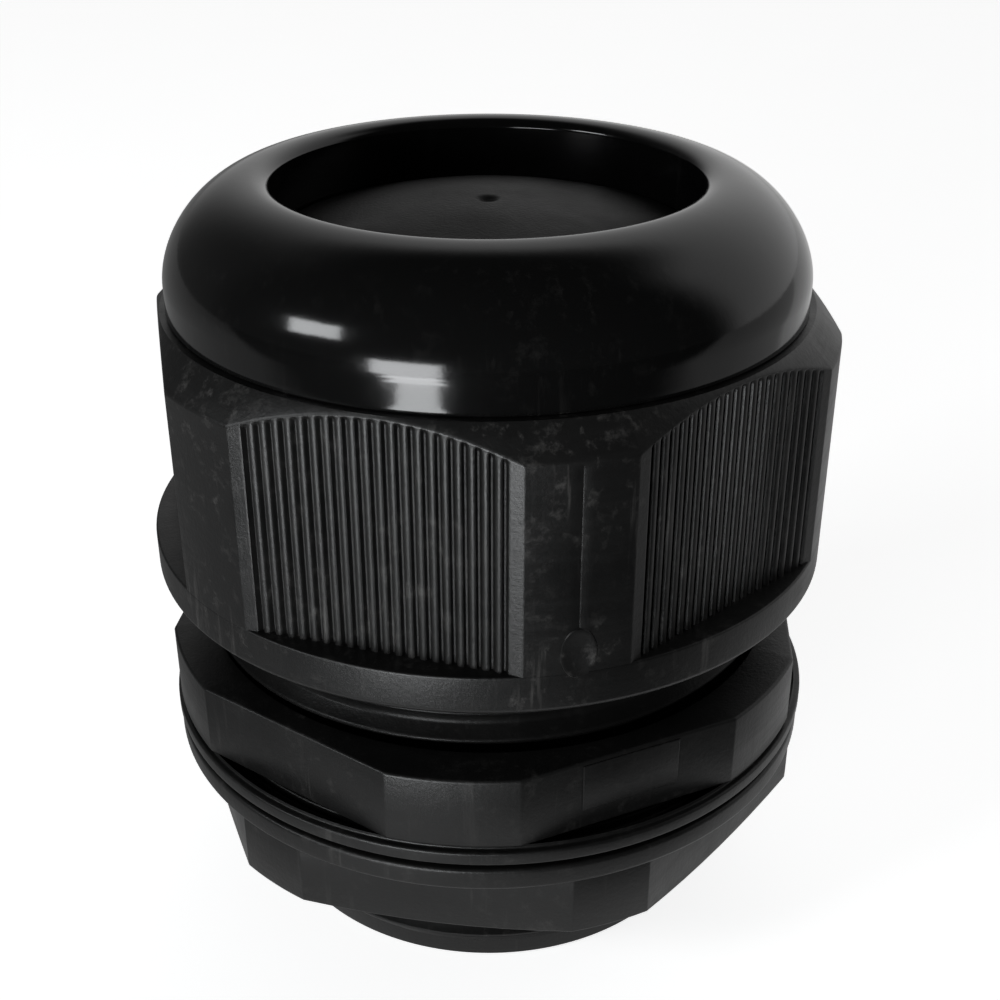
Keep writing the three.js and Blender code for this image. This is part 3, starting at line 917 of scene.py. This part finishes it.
def make_world(dim, backdrop):
    """White to the camera. The gland stands before a pale backdrop in an otherwise dim room."""
    world = bpy.data.worlds.new("room")
    world.use_nodes = True
    tree = world.node_tree
    tree.nodes.clear()

    def add(kind, *links):
        node = tree.nodes.new(kind)
        for source, socket in links:
            tree.links.new(source, node.inputs[socket])
        return node

    def fade(value, low, high, to_low, to_high):
        node = add("ShaderNodeMapRange", (value, "Value"))
        node.inputs["From Min"].default_value = low
        node.inputs["From Max"].default_value = high
        node.inputs["To Min"].default_value = to_low
        node.inputs["To Max"].default_value = to_high
        node.interpolation_type = "SMOOTHSTEP"
        return node.outputs["Result"]

    direction = add("ShaderNodeTexCoord").outputs["Generated"]
    axes = add("ShaderNodeSeparateXYZ", (direction, "Vector")).outputs
    level = fade(axes["Y"], -0.15, 0.30, 0, 1)
    below_top = fade(axes["Z"], 0.65, 0.95, 1, 0)
    dimmer_left = fade(axes["X"], -0.80, 0.10, 0.15, 1)
    for factor in (below_top, dimmer_left):
        product = add("ShaderNodeMath", (level, 0), (factor, 1))
        product.operation = "MULTIPLY"
        level = product.outputs["Value"]
    level = fade(level, 0, 1, dim, backdrop)
    room = add("ShaderNodeBackground", (level, "Strength"))
    white = add("ShaderNodeBackground")
    for node in (room, white):
        node.inputs["Color"].default_value = (1, 1, 1, 1)
    white.inputs["Strength"].default_value = 1
    path = add("ShaderNodeLightPath")
    mix = add("ShaderNodeMixShader", (path.outputs["Is Camera Ray"], "Fac"))
    tree.links.new(room.outputs["Background"], mix.inputs[1])
    tree.links.new(white.outputs["Background"], mix.inputs[2])
    add("ShaderNodeOutputWorld", (mix.outputs["Shader"], "Surface"))
    bpy.context.scene.world = world


LAMP_AIM = 0.06
GLINT_HEIGHT = 0.001
BLUISH = (0.96, 0.985, 1)


def area_lamp(name, size, radiance, tint):
    """A lamp of the given radiance and size in metres, which the camera doesn't see."""
    lamp = bpy.data.lights.new(name, "AREA")
    lamp.shape = "RECTANGLE"
    lamp.size, lamp.size_y = size
    lamp.energy = radiance * pi * size[0] * size[1]
    lamp.color = tint
    holder = bpy.data.objects.new(name, lamp)
    holder.visible_camera = False
    bpy.context.scene.collection.objects.link(holder)
    return holder


def soft_box(name, direction, size, radiance, tint, roll=0):
    """A lamp that faces the gland from (azimuth from -Y towards +X, elevation, distance)."""
    azimuth, elevation, distance = direction
    holder = area_lamp(name, size, radiance, tint)
    a, e = radians(azimuth), radians(elevation)
    away = Vector((sin(a) * cos(e), -cos(a) * cos(e), sin(e)))
    holder.location = Vector((0, 0, LAMP_AIM)) + away * distance
    holder.rotation_mode = "QUATERNION"
    turn = Quaternion(away, radians(roll))
    holder.rotation_quaternion = turn @ away.to_track_quat("Z", "Y")


def table_glint(name, azimuth, reach, width, radiance, tint):
    """The window's bright reflection in the table top: a lamp lying on it, facing up."""
    holder = area_lamp(name, (width, reach[1] - reach[0]), radiance, tint)
    middle = sum(reach) / 2
    a = radians(azimuth)
    holder.location = (middle * sin(a), -middle * cos(a), GLINT_HEIGHT)
    holder.rotation_euler = (pi, 0, a)


def make_camera():
    """The photo's view, solved from it: just right of the front, and looking down."""
    azimuth, distance, height = 5.83, 134.8 * MM, 110.6 * MM
    aim_off_axis = 0.49
    heading, pitch = radians(aim_off_axis - azimuth), radians(27.63)
    lens = bpy.data.cameras.new("camera")
    lens.sensor_width = 36
    lens.lens = 52.36
    lens.clip_start = 0.005
    camera = bpy.data.objects.new("camera", lens)
    bpy.context.scene.collection.objects.link(camera)
    a = radians(azimuth)
    camera.location = (distance * sin(a), -distance * cos(a), height)
    look = Vector((sin(heading) * cos(pitch), cos(heading) * cos(pitch), -sin(pitch)))
    camera.rotation_mode = "QUATERNION"
    camera.rotation_quaternion = look.to_track_quat("-Z", "Y")
    bpy.context.scene.camera = camera


# ---- Build ----

make_camera()
make_floor()
make_world(0.03, 0.80)
soft_box("window_left", (-55, 22, 0.60), (0.19, 0.11), 14, BLUISH, roll=14)
soft_box("window_front", (-20, 0, 0.45), (0.18, 0.118), 16, BLUISH)
table_glint("glint_far", -17.7, (0.30, 0.43), 0.115, 22, BLUISH)
table_glint("glint_middle", -16.7, (0.20, 0.30), 0.072, 20, BLUISH)
table_glint("glint_near", -15.7, (0.125, 0.20), 0.042, 14, BLUISH)

satin = plastic("satin_nylon", 0.005, 0.050, 0.34, 0.46, 0.6, 0.34)
# Painted shade: the neck's thread is darker and shines less than the rest of the body, for the
# shade in the gap under the dome nut's collar.
shaded_thread_nylon = plastic("thread_nylon", 0.004, 0.020, 0.30, 0.40, 0.4, 0.12)
nut_skin = plastic("nut_nylon", 0.0045, 0.075, 0.34, 0.46, 0.8, 0.34, gloss_from=LEDGE)
dark_rubber = rubber("gasket_rubber", 0.008, 0.75, 0.4)
disc_rubber = rubber("disc_rubber", 0.007, 0.48, 0.09)

PIECES = (
    (make_body, "gland_body", ("gland_body",), satin, "body_nylon"),
    (make_neck, "gland_body", (), shaded_thread_nylon, "body_nylon"),
    (make_pad, "gland_body", (), satin, "body_nylon"),
    (make_claw, "gland_body", ("clamping_claw",), satin, "body_nylon"),
    (make_seal, "gland_body", ("seal_insert",), dark_rubber, "seal_rubber"),
    (make_gasket, "flange_gasket", ("flange_gasket",), dark_rubber, "gasket_rubber"),
    (make_lock_nut, "lock_nut", ("lock_nut",), satin, "body_nylon"),
    (make_disc, "dust_disc", ("dust_disc",), disc_rubber, "seal_rubber"),
    (make_dome_nut, "dome_nut", ("dome_nut",), nut_skin, "dome_nylon"),
    (make_badge, "dome_nut", (), nut_skin, "dome_nylon"),
)
for make, body, nodes_replaced, look, slot in PIECES:
    made = make()
    made.data.materials.append(look)
    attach(made, body)
    if nodes_replaced:
        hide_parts(*nodes_replaced)

bpy.context.scene.view_settings.view_transform = "Standard"
